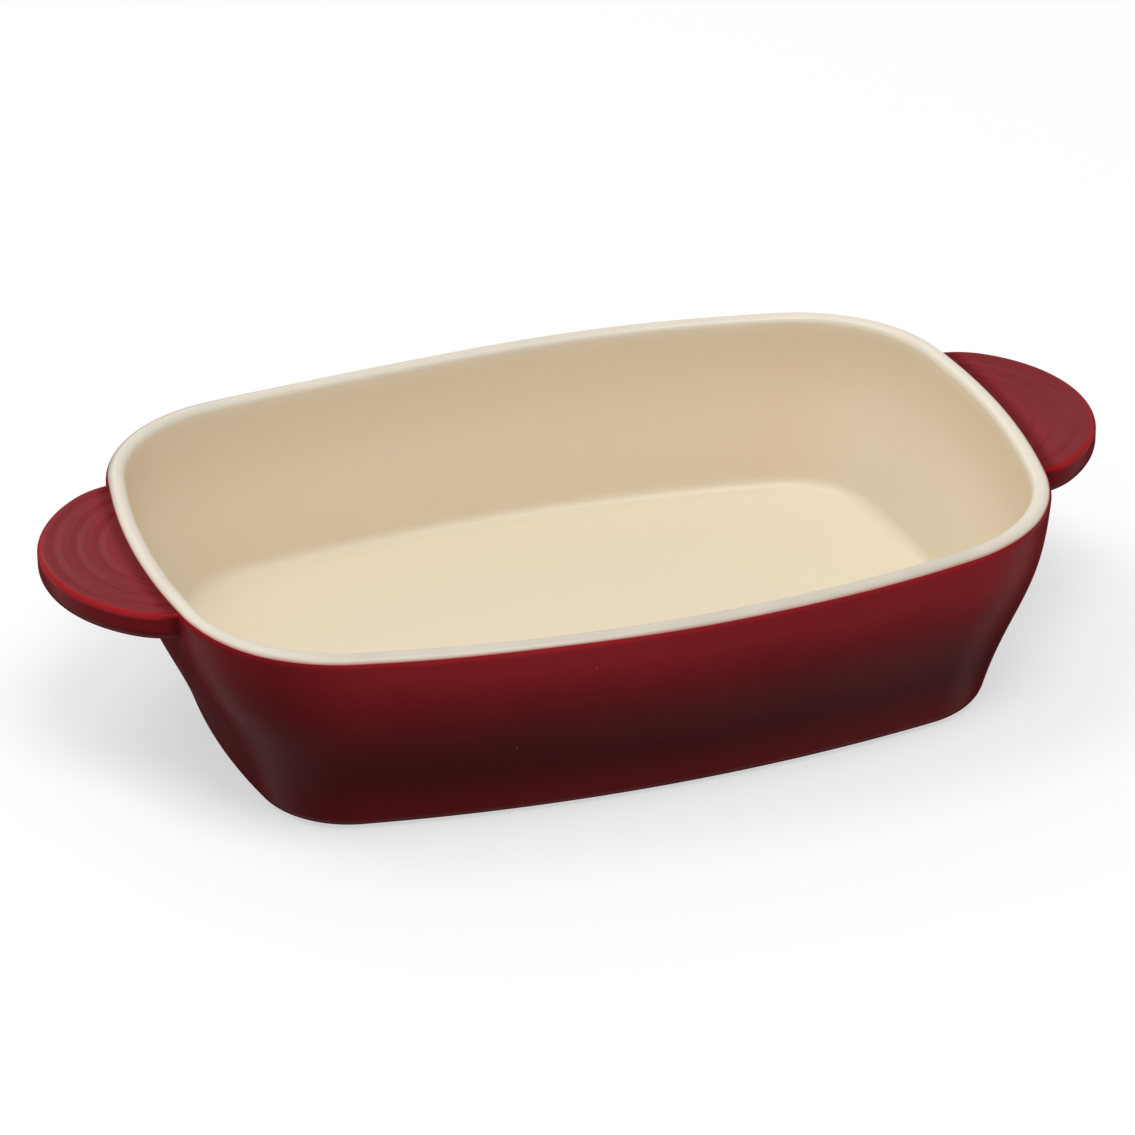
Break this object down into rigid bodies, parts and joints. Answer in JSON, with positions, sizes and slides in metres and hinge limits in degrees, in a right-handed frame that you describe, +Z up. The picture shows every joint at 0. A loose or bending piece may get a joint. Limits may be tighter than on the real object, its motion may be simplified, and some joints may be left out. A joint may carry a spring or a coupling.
{
  "type": "lasagna dish",
  "caption": "Rounded rectangular stoneware baking dish with bowed sides drawn in to its foot, glazed inside and out, with a flat grooved lug handle at each end.",
  "frame": {"origin": "centre of the foot, in the plane that the dish rests on", "axes": "+X along the length towards the right lug handle, +Y across the width, +Z up through the open mouth"},
  "size_m": [0.3918, 0.2282, 0.079],
  "materials": {
    "bare_clay": "matt",
    "cream_glaze": "gloss",
    "red_glaze": "gloss"
  },
  "bodies": {
    "root": {"stoneware_basin": "bare_clay", "left_lug_handle": "bare_clay", "right_lug_handle": "bare_clay", "cream_liner_glaze": "cream_glaze", "red_outer_glaze": "red_glaze", "red_underside_glaze": "red_glaze"}
  },
  "joints": []
}
